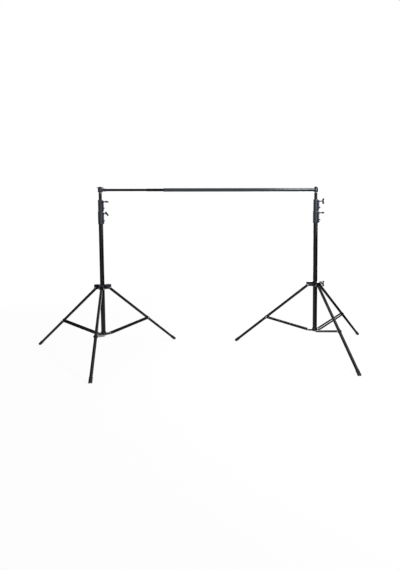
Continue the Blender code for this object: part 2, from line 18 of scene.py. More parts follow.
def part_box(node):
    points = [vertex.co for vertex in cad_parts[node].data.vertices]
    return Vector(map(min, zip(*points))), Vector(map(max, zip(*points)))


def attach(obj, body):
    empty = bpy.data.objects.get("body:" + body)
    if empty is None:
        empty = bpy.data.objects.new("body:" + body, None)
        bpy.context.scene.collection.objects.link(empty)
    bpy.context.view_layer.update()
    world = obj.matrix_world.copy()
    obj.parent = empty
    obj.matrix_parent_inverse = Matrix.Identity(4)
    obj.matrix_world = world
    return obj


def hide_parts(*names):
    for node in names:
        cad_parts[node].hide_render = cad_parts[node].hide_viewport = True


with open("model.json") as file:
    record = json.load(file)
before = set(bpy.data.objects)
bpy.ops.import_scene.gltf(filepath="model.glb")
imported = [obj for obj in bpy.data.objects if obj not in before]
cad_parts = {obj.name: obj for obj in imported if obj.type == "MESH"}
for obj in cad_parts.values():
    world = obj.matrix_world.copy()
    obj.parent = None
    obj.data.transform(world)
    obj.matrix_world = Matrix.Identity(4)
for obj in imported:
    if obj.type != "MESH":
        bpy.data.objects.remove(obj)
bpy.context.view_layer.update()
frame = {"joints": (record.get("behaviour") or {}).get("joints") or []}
joints = {joint["name"]: joint for joint in frame["joints"]}
scene = bpy.context.scene

# %% [markdown]
# ## The camera
# A camera is a place, three angles and a lens. The numbers were solved from the lines of the
# two stands, so that the render falls on the photograph. The lens centre lies a little off the
# middle of the picture, which Blender calls shift.

# %% The camera at the photograph's place
CAMERA_AT = (-0.17538, -2.96029, 0.90056)
YAW, PITCH, ROLL = 0.05251, 0.05769, -0.00819
FOCAL_PIXELS = 386.23
CENTRE_PIXEL = (204.68, 262.03)
PICTURE = (400, 570)
SENSOR = 36.0

ahead = Vector((math.sin(YAW) * math.cos(PITCH), math.cos(YAW) * math.cos(PITCH), -math.sin(PITCH)))
level = Vector((math.cos(YAW), -math.sin(YAW), 0))
upward = level.cross(ahead)
right = math.cos(ROLL) * level + math.sin(ROLL) * upward
above = math.cos(ROLL) * upward - math.sin(ROLL) * level
lens = bpy.data.cameras.new("lens")
lens.sensor_width = SENSOR
lens.lens = FOCAL_PIXELS * SENSOR / PICTURE[1]
lens.shift_x = (PICTURE[0] / 2 - CENTRE_PIXEL[0]) / PICTURE[1]
lens.shift_y = (CENTRE_PIXEL[1] - PICTURE[1] / 2) / PICTURE[1]
camera = bpy.data.objects.new("camera", lens)
scene.collection.objects.link(camera)
camera.matrix_world = Matrix((right, above, -ahead)).transposed().to_4x4()
camera.location = CAMERA_AT
scene.camera = camera
scene.view_settings.view_transform = "Standard"
print("lens of", round(lens.lens, 2), "mm at", CAMERA_AT)

# %% [markdown]
# ## Writing shaders as sums
# A procedural material is a web of nodes. Drawn by hand it is hard to read, so one small class
# wraps a node's output and lets plain Python arithmetic add the Math nodes. Colours don't go
# through Math nodes, which would turn them grey: they are blended by a Mix node.

# %% A wire that can be added and multiplied
class Wire:
    """An output of a node. Arithmetic on it adds a Math node and gives that node's output."""

    def __init__(self, web, socket):
        self.web = web
        self.socket = socket

    def combined(self, operation, first, second):
        return self.web.node("ShaderNodeMath", {"operation": operation}, {0: first, 1: second})

    def __add__(self, other):
        return self.combined("ADD", self, other)

    def __radd__(self, other):
        return self.combined("ADD", other, self)

    def __sub__(self, other):
        return self.combined("SUBTRACT", self, other)

    def __rsub__(self, other):
        return self.combined("SUBTRACT", other, self)

    def __mul__(self, other):
        return self.combined("MULTIPLY", self, other)

    def __rmul__(self, other):
        return self.combined("MULTIPLY", other, self)

    def larger(self, other):
        """The larger of the two at each point."""
        return self.combined("MAXIMUM", self, other)


# %% A web of nodes
class Web:
    """A node tree, with one method for any node and a few named ones for common patterns."""

    def __init__(self, owner):
        owner.use_nodes = True
        self.owner = owner
        self.tree = owner.node_tree

    def surface(self):
        """The shader that a new material starts with."""
        return self.tree.nodes["Principled BSDF"]

    def node(self, kind, settings=None, sockets=None, output=0):
        made = self.tree.nodes.new(kind)
        for key, value in (settings or {}).items():
            setattr(made, key, value)
        for key, value in (sockets or {}).items():
            self.feed(made.inputs[key], value)
        return Wire(self, made.outputs[output])

    def feed(self, socket, value):
        if isinstance(value, Wire):
            self.tree.links.new(value.socket, socket)
        else:
            socket.default_value = value

    def place(self):
        """The point's place on the object, in metres."""
        return self.node("ShaderNodeTexCoord", output="Object")

    def noise(self, scale, detail):
        """Soft random values round 0.5, with scale features to the metre."""
        return self.node("ShaderNodeTexNoise", {}, {
            "Vector": self.place(), "Scale": scale, "Detail": detail})

    def ramp(self, value, low, high, start=0.0, end=1.0):
        """A smooth climb from start at low to end at high."""
        return self.node("ShaderNodeMapRange", {"interpolation_type": "SMOOTHSTEP"}, {
            "Value": value, "From Min": low, "From Max": high, "To Min": start, "To Max": end})

    def blend(self, share, first, second):
        """A colour between two, by a share from 0 to 1."""
        sockets = {0: share, 6: (*first, 1) if isinstance(first, tuple) else first,
                   7: (*second, 1) if isinstance(second, tuple) else second}
        return self.node("ShaderNodeMix", {"data_type": "RGBA"}, sockets, output=2)

    def bump(self, height, depth):
        """Relief of a depth in metres, where the height runs from 0 to 1."""
        return self.node("ShaderNodeBump", {}, {"Height": height, "Distance": depth, "Strength": 1.0})

    def upness(self):
        """1 where the surface looks straight up, 0 where it is upright, -1 underneath."""
        normal = self.node("ShaderNodeNewGeometry", output="Normal")
        return self.node("ShaderNodeSeparateXYZ", {}, {0: normal}, output="Z")


def dull(name, white, roughness):
    """The web of a grey material without gloss."""
    web = Web(bpy.data.materials.new(name))
    shader = web.surface()
    shader.inputs["Base Color"].default_value = (white, white, white, 1)
    shader.inputs["Roughness"].default_value = roughness
    shader.inputs["Specular IOR Level"].default_value = 0.0
    return web


def seen_directly(web):
    """1 for the rays that show a thing itself: from the camera, from gloss and through glass."""
    light_path = web.tree.nodes.new("ShaderNodeLightPath")
    seen = ("Is Camera Ray", "Is Glossy Ray", "Is Transmission Ray")
    rays = [Wire(web, light_path.outputs[name]) for name in seen]
    return rays[0].larger(rays[1]).larger(rays[2])


# %% [markdown]
# ## The room
# The stand is photographed on white. A white floor that is lit until it looks white would burn
# out everything else, so the floor and the world are simply white to the rays that look at them,
# and the floor keeps a share of its real shading, which holds the shadows of the feet.

# %% Floor and world
FLOOR_SHARE = 0.10
FLOOR_EDGE = 40.0
NEAR_THE_STANDS, FAR_FROM_THEM = 1.5, 4.5
PAPER_WHITE = 0.9
AMBIENT = 0.7

world = bpy.data.worlds.new("white_room")
scene.world = world
room = Web(world)
background = room.tree.nodes["Background"]
background.inputs["Color"].default_value = (1, 1, 1, 1)
room.feed(background.inputs["Strength"], room.ramp(seen_directly(room), 0.0, 1.0, AMBIENT, 1.0))

floor_mesh = bpy.data.meshes.new("floor")
floor_mesh.from_pydata([(-FLOOR_EDGE, -FLOOR_EDGE, 0), (FLOOR_EDGE, -FLOOR_EDGE, 0),
                        (FLOOR_EDGE, FLOOR_EDGE, 0), (-FLOOR_EDGE, FLOOR_EDGE, 0)],
                       [], [(0, 1, 2, 3)])
floor = bpy.data.objects.new("floor", floor_mesh)
scene.collection.objects.link(floor)
paper = dull("white_floor", PAPER_WHITE, 0.9)
glow = paper.node("ShaderNodeEmission", {}, {"Color": (1, 1, 1, 1), "Strength": 1.0})
radius = paper.node("ShaderNodeVectorMath", {"operation": "LENGTH"}, {0: paper.place()}, output=1)
near = paper.ramp(radius, NEAR_THE_STANDS, FAR_FROM_THEM, 1.0, 0.0)
shown = paper.node("ShaderNodeMixShader", {}, {
    0: seen_directly(paper) * (1.0 - near * FLOOR_SHARE),
    1: Wire(paper, paper.surface().outputs[0]), 2: glow})
paper.feed(paper.tree.nodes["Material Output"].inputs["Surface"], shown)
floor_mesh.materials.append(paper.owner)
print("floor keeps", FLOOR_SHARE, "of its shading near the stands")

# %% [markdown]
# ## The lamps
# Gloss black shows hardly any colour of its own: what the eye reads is the reflection of the
# lamps. One tall softbox leans over the right end of the bar and draws the bright band on it and
# the line down the collars. A smaller one behind the stands draws the bright edge of the front
# leg. Black cards beside the stands keep the flanks of the tubes dark, as in a product studio:
# only the gloss can see them, so they throw no shadow.

# %% Softboxes
BAR_RADIANCE = 10.5
RIM_RADIANCE = 6.5


def softbox(name, corner, side_x, side_y, radiance):
    """A flat lamp over a corner and two sides at right angles. It shines away from their cross
    product. Its power is radiance times pi times its area."""
    corner, side_x, side_y = Vector(corner), Vector(side_x), Vector(side_y)
    data = bpy.data.lights.new(name, "AREA")
    data.shape = "RECTANGLE"
    data.size = side_x.length
    data.size_y = side_y.length
    data.energy = radiance * math.pi * data.size * data.size_y
    lamp = bpy.data.objects.new(name, data)
    scene.collection.objects.link(lamp)
    across, along = side_x.normalized(), side_y.normalized()
    lamp.matrix_world = Matrix((across, along, across.cross(along))).transposed().to_4x4()
    lamp.location = corner + (side_x + side_y) / 2
    lamp.visible_camera = False
    print(name, "of", round(data.energy), "W")


softbox("bar_softbox", (1.15, -2.0, 1.16), (0.6, 0, 0), (0, 1.92, 2.14), BAR_RADIANCE)
softbox("rim_softbox", (2.45, 1.89, 1.80), (-1.07, 1.65, -1.89), (-0.48, 0.32, 0.554), RIM_RADIANCE)


# %% Black cards
CARD_HIGH = 1.7
LIFT = 0.003

card_ink = dull("black_card", 0.0, 1.0)


def black_card(name, start, end, low=0.0, high=CARD_HIGH, depth=0.0):
    """A card over a line on the floor: upright, or lying where it has a depth."""
    card_mesh = bpy.data.meshes.new(name)
    far = [(x, y + depth, high) for x, y in (end, start)]
    card_mesh.from_pydata([(*start, low), (*end, low), *far], [], [(0, 1, 2, 3)])
    card_mesh.materials.append(card_ink.owner)
    card = bpy.data.objects.new(name, card_mesh)
    scene.collection.objects.link(card)
    card.visible_camera = False
    card.visible_diffuse = False
    card.visible_shadow = False


black_card("left_card", (-1.65, -1.0), (-1.65, 0.5))
black_card("right_card", (2.6, -2.0), (2.6, 4.2))
black_card("low_front_card", (1.15, -2.0), (2.6, -2.0), 0.0, 1.05)
black_card("high_front_card", (1.75, -2.0), (2.6, -2.0), 1.05)
black_card("floor_card", (1.15, -2.0), (2.6, -2.0), LIFT, LIFT, 2.5)

# %% [markdown]
# ## The finishes
# The tubes are gloss enamel on aluminium, which is never quite even: the gloss is a little cloudy
# and the skin has a fine orange-peel ripple. The clamps are moulded plastic with a spark-eroded
# grain. Dust settles on what looks up and dulls it slightly. Of the small steel parts, the bolts
# and rivets are bright with zinc, the studs are a duller zinc, and the clamp screws are blackened.

# %% One recipe for painted and moulded surfaces
CLOUDS_PER_METRE = 11.0
DUST_PER_METRE = 60.0
DUST_DULLS = 0.06
CLOUDS_PALE, DUST_PALES = 0.6, 0.4


def coated(name, colour, pale, roughness, cloud, grain_scale, grain_depth, specular):
    """Base colour drifts between colour and pale with clouds and dust, and roughness drifts by
    cloud. The grain, in features to the metre and a depth in metres, gives the relief."""
    web = Web(bpy.data.materials.new(name))
    shader = web.surface()
    clouds = web.noise(CLOUDS_PER_METRE, 4.0)
    grain = web.noise(grain_scale, 2.0)
    specks = web.ramp(web.noise(DUST_PER_METRE, 5.0), 0.35, 0.75)
    dust = web.ramp(web.upness(), 0.2, 1.0) * specks
    share = web.ramp(clouds, 0.3, 0.75) * CLOUDS_PALE + dust * DUST_PALES
    web.feed(shader.inputs["Base Color"], web.blend(share, colour, pale))
    web.feed(shader.inputs["Roughness"], roughness + (clouds - 0.5) * cloud + dust * DUST_DULLS)
    web.feed(shader.inputs["Normal"], web.bump(grain, grain_depth))
    shader.inputs["Specular IOR Level"].default_value = specular
    return web.owner


finishes = {
    "black_tube": coated("gloss_black_enamel", (0.002, 0.002, 0.003), (0.005, 0.005, 0.006),
                         0.13, 0.05, 350.0, 0.000003, 0.20),
    "black_bar": coated("gloss_black_bar_enamel", (0.001, 0.001, 0.002), (0.003, 0.003, 0.005),
                        0.18, 0.06, 350.0, 0.000003, 0.10),
    "slate_bar": coated("gloss_slate_enamel", (0.008, 0.013, 0.021), (0.013, 0.019, 0.030),
                        0.26, 0.06, 350.0, 0.000003, 0.5),
    "black_strip": coated("black_enamel_on_strip", (0.002, 0.002, 0.003), (0.005, 0.005, 0.006),
                          0.28, 0.10, 300.0, 0.000006, 0.12),
    "collar_plastic": coated("slate_moulded_plastic", (0.008, 0.011, 0.021), (0.016, 0.021, 0.035),
                             0.32, 0.10, 1500.0, 0.00001, 0.45),
    "hub_plastic": coated("dark_moulded_plastic", (0.004, 0.005, 0.008), (0.010, 0.012, 0.016),
                          0.28, 0.10, 1500.0, 0.00001, 0.35),
    "knob_plastic": coated("black_moulded_plastic", (0.002, 0.002, 0.003), (0.005, 0.005, 0.006),
                           0.36, 0.10, 1500.0, 0.00001, 0.2),
    "foot_rubber": coated("black_rubber", (0.004, 0.004, 0.005), (0.012, 0.011, 0.011),
                          0.60, 0.12, 900.0, 0.00002, 0.25),
}

# %% Bare and plated steel
PATCHES_PER_METRE = 90.0
PATCHES_DULL = 0.16
CRYSTALS_PER_METRE = 1800.0
CRYSTAL_DEPTH = 0.00002


def plated(name, colour, pale, roughness):
    """Metal whose colour and roughness drift together, with a fine crystalline relief."""
    web = Web(bpy.data.materials.new(name))
    shader = web.surface()
    patches = web.noise(PATCHES_PER_METRE, 4.0)
    crystals = web.noise(CRYSTALS_PER_METRE, 2.0)
    web.feed(shader.inputs["Base Color"], web.blend(web.ramp(patches, 0.35, 0.7), colour, pale))
    web.feed(shader.inputs["Roughness"], roughness + web.ramp(patches, 0.3, 0.75) * PATCHES_DULL)
    web.feed(shader.inputs["Normal"], web.bump(crystals, CRYSTAL_DEPTH))
    shader.inputs["Metallic"].default_value = 1.0
    return web.owner


finishes["bright_zinc"] = plated("bright_zinc_plate", (0.34, 0.35, 0.37), (0.50, 0.50, 0.52), 0.22)
finishes["dull_zinc"] = plated("dull_zinc_plate", (0.13, 0.14, 0.15), (0.22, 0.22, 0.23), 0.26)
finishes["black_screw"] = plated("black_oxide_steel", (0.02, 0.02, 0.022), (0.05, 0.05, 0.052), 0.3)
print("finishes:", ", ".join(finishes))

# %% [markdown]
# ## Surfaces from grids
# Every new piece is a grid of points: one index runs along a profile or a path, the other runs
# round it. numpy works out the whole grid at once, and a single rule turns it into faces.

# %% A closed shell over a grid
SAME_PLACE = 1e-7


class Shell:
    """Points, four-sided faces between neighbouring rows, and flat faces on the ends.

    Face (i, j) joins the points (i, j), (i, j + 1), (i + 1, j + 1) and (i + 1, j), where the
    columns run round and close. The rows close too where ring is set.
    """

    def __init__(self, rows, ring=False):
        count, around = rows.shape[:2]
        index = np.arange(count * around).reshape(count, around)
        low = index if ring else index[:-1]
        high = np.roll(index, -1, axis=0)[:len(low)]
        quads = np.stack([low, np.roll(low, -1, axis=1), np.roll(high, -1, axis=1), high], axis=-1)
        self.points = rows.reshape(-1, 3)
        self.quads = quads.reshape(-1, 4)
        self.ends = [] if ring else [index[0, ::-1], index[-1]]

    def moved(self, matrix):
        """The same shell with every point taken through a matrix."""
        copy = Shell.__new__(Shell)
        grid = np.array(matrix)
        copy.points = self.points @ grid[:3, :3].T + grid[:3, 3]
        copy.quads = self.quads
        copy.ends = self.ends
        return copy


def line(*corners, steps=4):
    """A line through (u, v, rounding) corners. Each corner is cut back by its rounding and
    crossed by (1-t)^2 before + 2t(1-t) corner + t^2 after, with t from 0 to 1."""
    corners = np.array(corners, float)
    at, cut = corners[:, :2], corners[:, 2:]
    back = np.roll(at, 1, axis=0) - at
    onward = np.roll(at, -1, axis=0) - at
    before = at + cut * back / np.linalg.norm(back, axis=1, keepdims=True)
    after = at + cut * onward / np.linalg.norm(onward, axis=1, keepdims=True)
    t = np.linspace(0, 1, steps + 1)[None, :, None]
    curve = (1 - t) ** 2 * before[:, None] + 2 * t * (1 - t) * at[:, None] + t ** 2 * after[:, None]
    path = curve.reshape(-1, 2)
    fresh = np.abs(np.diff(path, axis=0)).max(axis=1) > SAME_PLACE
    return path[np.append(True, fresh)]


# %% Turned, flat and lofted shapes
def turned(profile, sides=48, ring=False):
    """A surface of revolution: x = r cos a, y = r sin a, z = h, for (r, h) on the profile."""
    angle = np.linspace(0, math.tau, sides, endpoint=False)
    radius, height = profile[:, :1], profile[:, 1:]
    rows = np.stack([radius * np.cos(angle), radius * np.sin(angle), height + 0 * angle], axis=-1)
    return Shell(rows, ring)


def slab(outline, low, high):
    """An outline in x and z, carried along y from low to high."""
    y = np.array([[low], [high]])
    x, z = outline[:, 0], outline[:, 1]
    return Shell(np.stack([x + 0 * y, y + 0 * x, z + 0 * y], axis=-1))


def oval(power, count):
    """A closed curve |u|^p + |v|^p = 1: a circle at power 2, squarer above."""
    angle = np.linspace(0, math.tau, count, endpoint=False) + math.pi / count
    u, v = np.cos(angle), np.sin(angle)
    size = (np.abs(u) ** power + np.abs(v) ** power) ** (-1 / power)
    return np.stack([u * size, v * size], axis=-1)


def lofted(y, x, z, wide, tall, outline):
    """A bar along y: point = (x + u wide, y, z + v tall) for (u, v) on the outline."""
    values = (y, x, z, wide, tall)
    y, x, z, wide, tall = (np.broadcast_to(value, y.shape)[:, None] for value in values)
    u, v = outline[:, 0], outline[:, 1]
    return Shell(np.stack([x + u * wide, y + 0 * u, z + v * tall], axis=-1))


def pill(length, half, count):
    """The outline of a strip with round ends, from (0, 0) to (0, length)."""
    angle = np.linspace(0, math.pi, count)
    top = np.stack([half * np.cos(angle), length + half * np.sin(angle)], axis=-1)
    foot = np.stack([-half * np.cos(angle), -half * np.sin(angle)], axis=-1)
    return np.concatenate([top, foot])


# %% A piece from its shells
SMOOTH_BELOW = math.radians(38)
BEVEL_ABOVE = math.radians(40)


def piece(name, body, slot, shells, stands_for=(), bevel=0.0, finish=None):
    """One object with its place in its mesh, its finish, its body and its CAD nodes. The slot
    names the finish, unless the piece has a variant of its own."""
    starts = np.cumsum([0] + [len(shell.points) for shell in shells])
    points = np.concatenate([shell.points for shell in shells])
    quads = np.concatenate([shell.quads + start for shell, start in zip(shells, starts)])
    ends = [(end + start).tolist() for shell, start in zip(shells, starts) for end in shell.ends]
    mesh = bpy.data.meshes.new(name)
    mesh.from_pydata(points, [], quads.tolist() + ends)
    bm = bmesh.new()
    bm.from_mesh(mesh)
    bmesh.ops.remove_doubles(bm, verts=bm.verts[:], dist=SAME_PLACE)
    bmesh.ops.recalc_face_normals(bm, faces=bm.faces[:])
    bm.to_mesh(mesh)
    bm.free()
    mesh.shade_smooth()
    mesh.set_sharp_from_angle(angle=SMOOTH_BELOW)
    mesh.materials.append(finishes[finish or slot])
    made = bpy.data.objects.new(name, mesh)
    scene.collection.objects.link(made)
    if bevel:
        edge = made.modifiers.new("edge", "BEVEL")
        edge.width = bevel
        edge.segments = 2
        edge.limit_method = "ANGLE"
        edge.angle_limit = BEVEL_ABOVE
        edge.harden_normals = True
    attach(made, body)
    if stands_for:
        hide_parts(*stands_for)


# %% Places and boxes
def shift(x=0.0, y=0.0, z=0.0):
    """A move by metres."""
    return Matrix.Translation((x, y, z))


def turn(degrees, axis):
    """A turn about an axis through the origin."""
    return Matrix.Rotation(math.radians(degrees), 4, axis)


def middle(node):
    """The centre of a CAD node's box."""
    low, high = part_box(node)
    return (low + high) / 2


# %% [markdown]
# ## Where the stands are
# Each stand has its own frame: its column is the z axis, and its first leg lies along x. The
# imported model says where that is: the column's box gives the axis, and the first leg's hinge
# gives the turn.

# %% The two stands' frames
SIDES = ("left", "right")
OUTWARD = turn(-90, "Y")

stands = {}
for side in SIDES:
    centre = middle(f"{side}_column_tube")
    hinge = Vector(joints[f"{side}_leg_1_fold"]["pos_m"])
    way = math.degrees(math.atan2(hinge.y - centre.y, hinge.x - centre.x))
    stands[side] = shift(centre.x, centre.y) @ turn(way, "Z")
    print(side, "stand at", round(centre.x, 4), round(centre.y, 4), "turned", round(way, 2))

# %% [markdown]
# ## Tubes
# A tube is a ring-shaped profile turned about its axis: outer wall, a rolled rim, inner wall.
# The rim is rounded over half a millimetre, which is what catches a light on a real cut tube.

# %% The column's three stages
GAP = 0.0003
SLIDE = 0.0004
WALL = 0.0015
STAGE_R = {"column": 0.0175, "middle": 0.0150, "top": 0.0125}
RIM = 0.0005


def tube(radius, wall, low, high, sides=56):
    """A hollow tube with rounded rims, along z from low to high."""
    return turned(line((radius, low, RIM), (radius, high, RIM),
                       (radius - wall, high, RIM), (radius - wall, low, RIM)), sides, ring=True)


for side in SIDES:
    for stage, radius in STAGE_R.items():
        node = f"{side}_{stage}_tube"
        low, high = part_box(node)
        pipe = tube(radius, WALL, low.z, high.z)
        piece(f"{side}_{stage}_pipe", f"{side}_{stage}", "black_tube",
              [pipe.moved(stands[side])], [node])
print("column stages of", [2000 * r for r in STAGE_R.values()], "mm")

# %% [markdown]
# ## Clamp collars
# The collar is one moulding: a round sleeve with a square-shouldered rib down its clamp side.
# In polar form it is one function: at each angle and height take the larger of the sleeve's
# radius and the rib's, and let a high power mean stand for the larger one, which leaves a small
# fillet where they meet.

# %% The collar's surface
CLAMP_WALL = 0.0036
RIB_R = 0.028
RIB_HALF = 0.0085
RIB_POWER = 7
RIB_ROOT = 0.9
RIB_SHOULDER = 0.024
SLOPE, SLOPE_POWER = 1.6, 2.6
GRIP = 0.033
END_H = 0.0030
LOW_EDGE, HIGH_EDGE = 0.0012, 0.0022
BLEND_POWER = 26.0
AROUND = 132
CROWDING = 0.78


def collar(height, low_bore, high_bore):
    """radius(a, z) = (sleeve^n + rib^n)^(1/n), where the rib is a flat-sided oval of its own
    reach and width, and both round off towards the ends. At the top the rib slopes back to its
    root over 1.6 times its height. The columns crowd where the rib is, at a = s - k sin s, and
    the rows crowd at the ends and on the slope."""
    share = np.linspace(0, math.tau, AROUND, endpoint=False)
    angle = share - CROWDING * np.sin(share)
    steps = END_H * (1 - np.cos(np.linspace(0, math.pi / 2, 7)))
    z = np.unique(np.concatenate([steps, np.linspace(END_H, height - RIB_SHOULDER, 8),
                                  np.linspace(height - RIB_SHOULDER, height - END_H, 22),
                                  height - steps]))[:, None]
    sleeve = low_bore + CLAMP_WALL
    to_low = np.clip(1 - z / END_H, 0, 1)
    to_high = np.clip(1 - (height - z) / END_H, 0, 1)
    round_low = LOW_EDGE * (1 - np.sqrt(1 - to_low ** 2))
    round_high = HIGH_EDGE * (1 - np.sqrt(1 - to_high ** 2))
    body = sleeve - round_low - round_high
    fall = np.clip(1 - (height - END_H - z) / (SLOPE * (RIB_R - sleeve)), 0, 1)
    foot = np.clip(1 - (z - END_H / 2) / END_H, 0, 1)
    root = sleeve * RIB_ROOT
    reach = root + (RIB_R - root) * np.sqrt(1 - fall ** SLOPE_POWER) * np.sqrt(1 - foot ** 2)
    forward = np.clip(np.cos(angle), 1e-3, None) / reach
    sideways = np.abs(np.sin(angle)) / RIB_HALF
    rib = (forward ** RIB_POWER + sideways ** RIB_POWER) ** (-1 / RIB_POWER)
    rib = np.where(np.cos(angle) > 0, rib, 1e-4)
    radius = (body ** BLEND_POWER + rib ** BLEND_POWER) ** (1 / BLEND_POWER)
    outer = np.stack([-radius * np.cos(angle), -radius * np.sin(angle), z + 0 * angle], axis=-1)
    bore = line((high_bore, height, 0), (high_bore, height - GRIP, 0),
                (low_bore, height - GRIP, 0), (low_bore, 0, 0))
    inner = np.stack([-bore[:, :1] * np.cos(angle), -bore[:, :1] * np.sin(angle),
                      bore[:, 1:] + 0 * angle], axis=-1)
    return Shell(np.concatenate([outer, inner]), ring=True)


# %% Bosses and screw heads
SCREW_HOLE_R = 0.0046
HOLE_DEPTH = 0.003
HEAD_OF_SCREW_R = 0.005
SOCKET_R, SOCKET_DEPTH = 0.0024, 0.0022


def side_turned(z, *corners, sides=28):
    """A turned fitting that stands out from the column on its clamp side, at height z."""
    return turned(line(*corners), sides).moved(shift(z=z) @ OUTWARD)


def boss(z, radius, root, reach):
    """A round boss with the hole that the clamp screw runs in."""
    return side_turned(z, (0, root, 0), (radius + 0.0012, root, 0), (radius, root + 0.0016, 0.001),
                       (radius, reach, 0.0009), (SCREW_HOLE_R, reach, 0.0004),
                       (SCREW_HOLE_R, reach - HOLE_DEPTH, 0), (0, reach - HOLE_DEPTH, 0))


def screw_head(z, root, reach):
    """A cheese head with a slightly tapered socket."""
    return side_turned(z, (0, root, 0), (HEAD_OF_SCREW_R, root, 0), (HEAD_OF_SCREW_R, reach, 0.0012),
                       (SOCKET_R, reach, 0.0002), (SOCKET_R - 0.0002, reach - SOCKET_DEPTH, 0),
                       (0, reach - SOCKET_DEPTH, 0), sides=24)


# %% Both collars on each stand
KNOB_DROP = 0.0165
CLAMP_BOSS_R, CLAMP_BOSS_REACH = 0.0065, 0.033
CLAMPS = {"lower": ("column", "middle", ((0.010, 0.031), (0.027, 0.0365))),
          "upper": ("middle", "top", ((0.026, 0.0365),))}

for side in SIDES:
    for name, (fixed, gripped, screws) in CLAMPS.items():
        node = f"{side}_{name}_collar"
        low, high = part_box(node)
        height = high.z - low.z
        seat = stands[side] @ shift(z=low.z)
        shells = [collar(height, STAGE_R[fixed] + GAP, STAGE_R[gripped] + GAP),
                  boss(height - KNOB_DROP, CLAMP_BOSS_R, RIB_R - 0.004, CLAMP_BOSS_REACH)]
        shells += [screw_head(z, RIB_R - 0.002, reach) for z, reach in screws]
        piece(f"{side}_{name}_clamp", f"{side}_{fixed}", "collar_plastic",
              [shell.moved(seat) for shell in shells], [node])
        print(node, "is", round(1000 * height, 1), "mm high")

# %% [markdown]
# ## Cross handles
# Each clamp screw ends in a cross handle with two flat lobes, bowed to one side so that a hand
# finds it by feel. It is one loft along its length: the half width swells from the waist to the
# lobe and closes at the tip like an ellipse, and the whole bar follows a shallow parabola.

# %% The handle and its screw
HANDLE_L = 0.046
LOBE_W, LOBE_T = 0.0078, 0.0046
WAIST_W, WAIST_T = 0.0046, 0.0042
WAIST_ENDS, LOBE_STARTS = 0.22, 0.62
TIP_POWER = 2.6
BOW = 0.005
CAP_BACK, CAP_FRONT = 0.010, 0.0046
STEM_R = 0.004
THREAD_PITCH, THREAD_DEPTH = 0.0012, 0.0004


def handle(reach):
    """Half width = waist + (lobe - waist) s, closed at the tips by sqrt(1 - e^2.6), with
    s a smooth step along the arm and e the share of the way from the lobe to the tip."""
    share = np.sin(np.linspace(-math.pi / 2, math.pi / 2, 57))
    away = np.abs(share)
    step = np.clip((away - WAIST_ENDS) / (LOBE_STARTS - WAIST_ENDS), 0, 1)
    swell = step ** 2 * (3 - 2 * step)
    close = np.sqrt(1 - np.clip((away - LOBE_STARTS) / (1 - LOBE_STARTS), 0, 1) ** TIP_POWER)
    tall = (WAIST_W + (LOBE_W - WAIST_W) * swell) * close
    wide = (WAIST_T + (LOBE_T - WAIST_T) * swell) * close
    bow = BOW * (1 / 3 - share ** 2)
    return lofted(HANDLE_L / 2 * share, bow, reach, wide, tall, oval(2.8, 32))


def handle_hub(reach):
    """The boss in the middle of the handle, with a domed cap."""
    back, front = reach - CAP_BACK, reach + CAP_FRONT
    return turned(line((0, back, 0), (0.0066, back, 0.0006), (0.0075, reach - 0.004, 0.001),
                       (0.0070, front, 0.0022), (0, front, 0)), 28)


def stem(tip, reach):
    """The plain shank of the screw, with a chamfered tip and three thread rings behind it. It
    ends a millimetre inside the handle's boss."""
    end = reach - CAP_BACK + 0.001
    rings = []
    for step in range(3):
        at = tip + 0.0016 + THREAD_PITCH * step
        rings += [(STEM_R, at, 0.0002), (STEM_R - THREAD_DEPTH, at + THREAD_PITCH / 2, 0.0002)]
    return turned(line((0, tip, 0), (STEM_R - 2 * THREAD_DEPTH, tip, 0), *rings,
                       (STEM_R, tip + 0.0056, 0), (STEM_R, end, 0), (0, end, 0)), 24)


# %% Three handles on each stand
COLLAR_REACH, HUB_REACH = 0.058, 0.064
KNOBS = {"lower": ("middle", COLLAR_REACH, {"left": -130.0, "right": -90.0}),
         "upper": ("top", COLLAR_REACH, {"left": -90.0, "right": 0.0}),
         "hub": ("column", HUB_REACH, {"left": -90.0, "right": -15.0})}

for side in SIDES:
    for name, (pressed, reach, turns) in KNOBS.items():
        node = f"{side}_{name}_knob"
        z = joints[f"{side}_{name}_knob_turn"]["pos_m"][2]
        seat = stands[side] @ shift(z=z) @ OUTWARD @ turn(turns[side] + 90, "Z")
        piece(f"{side}_{name}_handle", node, "knob_plastic",
              [handle(reach).moved(seat), handle_hub(reach).moved(seat)], [node])
        piece(f"{side}_{name}_screw", node, "knob_plastic",
              [stem(STAGE_R[pressed] + GAP, reach).moved(seat)], finish="black_screw")
print("handles of", 1000 * HANDLE_L, "mm")

# %% [markdown]
# ## The leg hub
# The sliding hub is a sleeve with three arms. Each arm is a channel: two cheeks with a round
# nose, in which the leg swings, under a web that stops it. They are flat plates, so an outline
# carried through its thickness is enough, and a Bevel modifier breaks the edges.

# %% Sleeve, cheeks and webs
COLUMN_R = STAGE_R["column"]
PIVOT_R = 0.055
HUB_LOW, HUB_HIGH = -0.0125, 0.0265
CHEEK_IN, CHEEK_OUT = 0.0114, 0.0168
NOSE_R = 0.011
ARM_END = PIVOT_R + 0.0135
END_ROUND = 0.004
WEB_T = 0.012
ARM_ROOT = 0.028
HUB_BORE = COLUMN_R + SLIDE
HUB_R = HUB_BORE + 0.0045
HUB_BOSS_Z, HUB_BOSS_R, HUB_BOSS_REACH = 0.012, 0.009, 0.040
PLATE_BEVEL = 0.0007


def nose(x, z, radius, first, last, count):
    """Points of an arc from one angle to another, in degrees from +x towards +z."""
    angle = np.radians(np.linspace(first, last, count))
    return np.stack([x + radius * np.cos(angle), z + radius * np.sin(angle)], axis=-1)


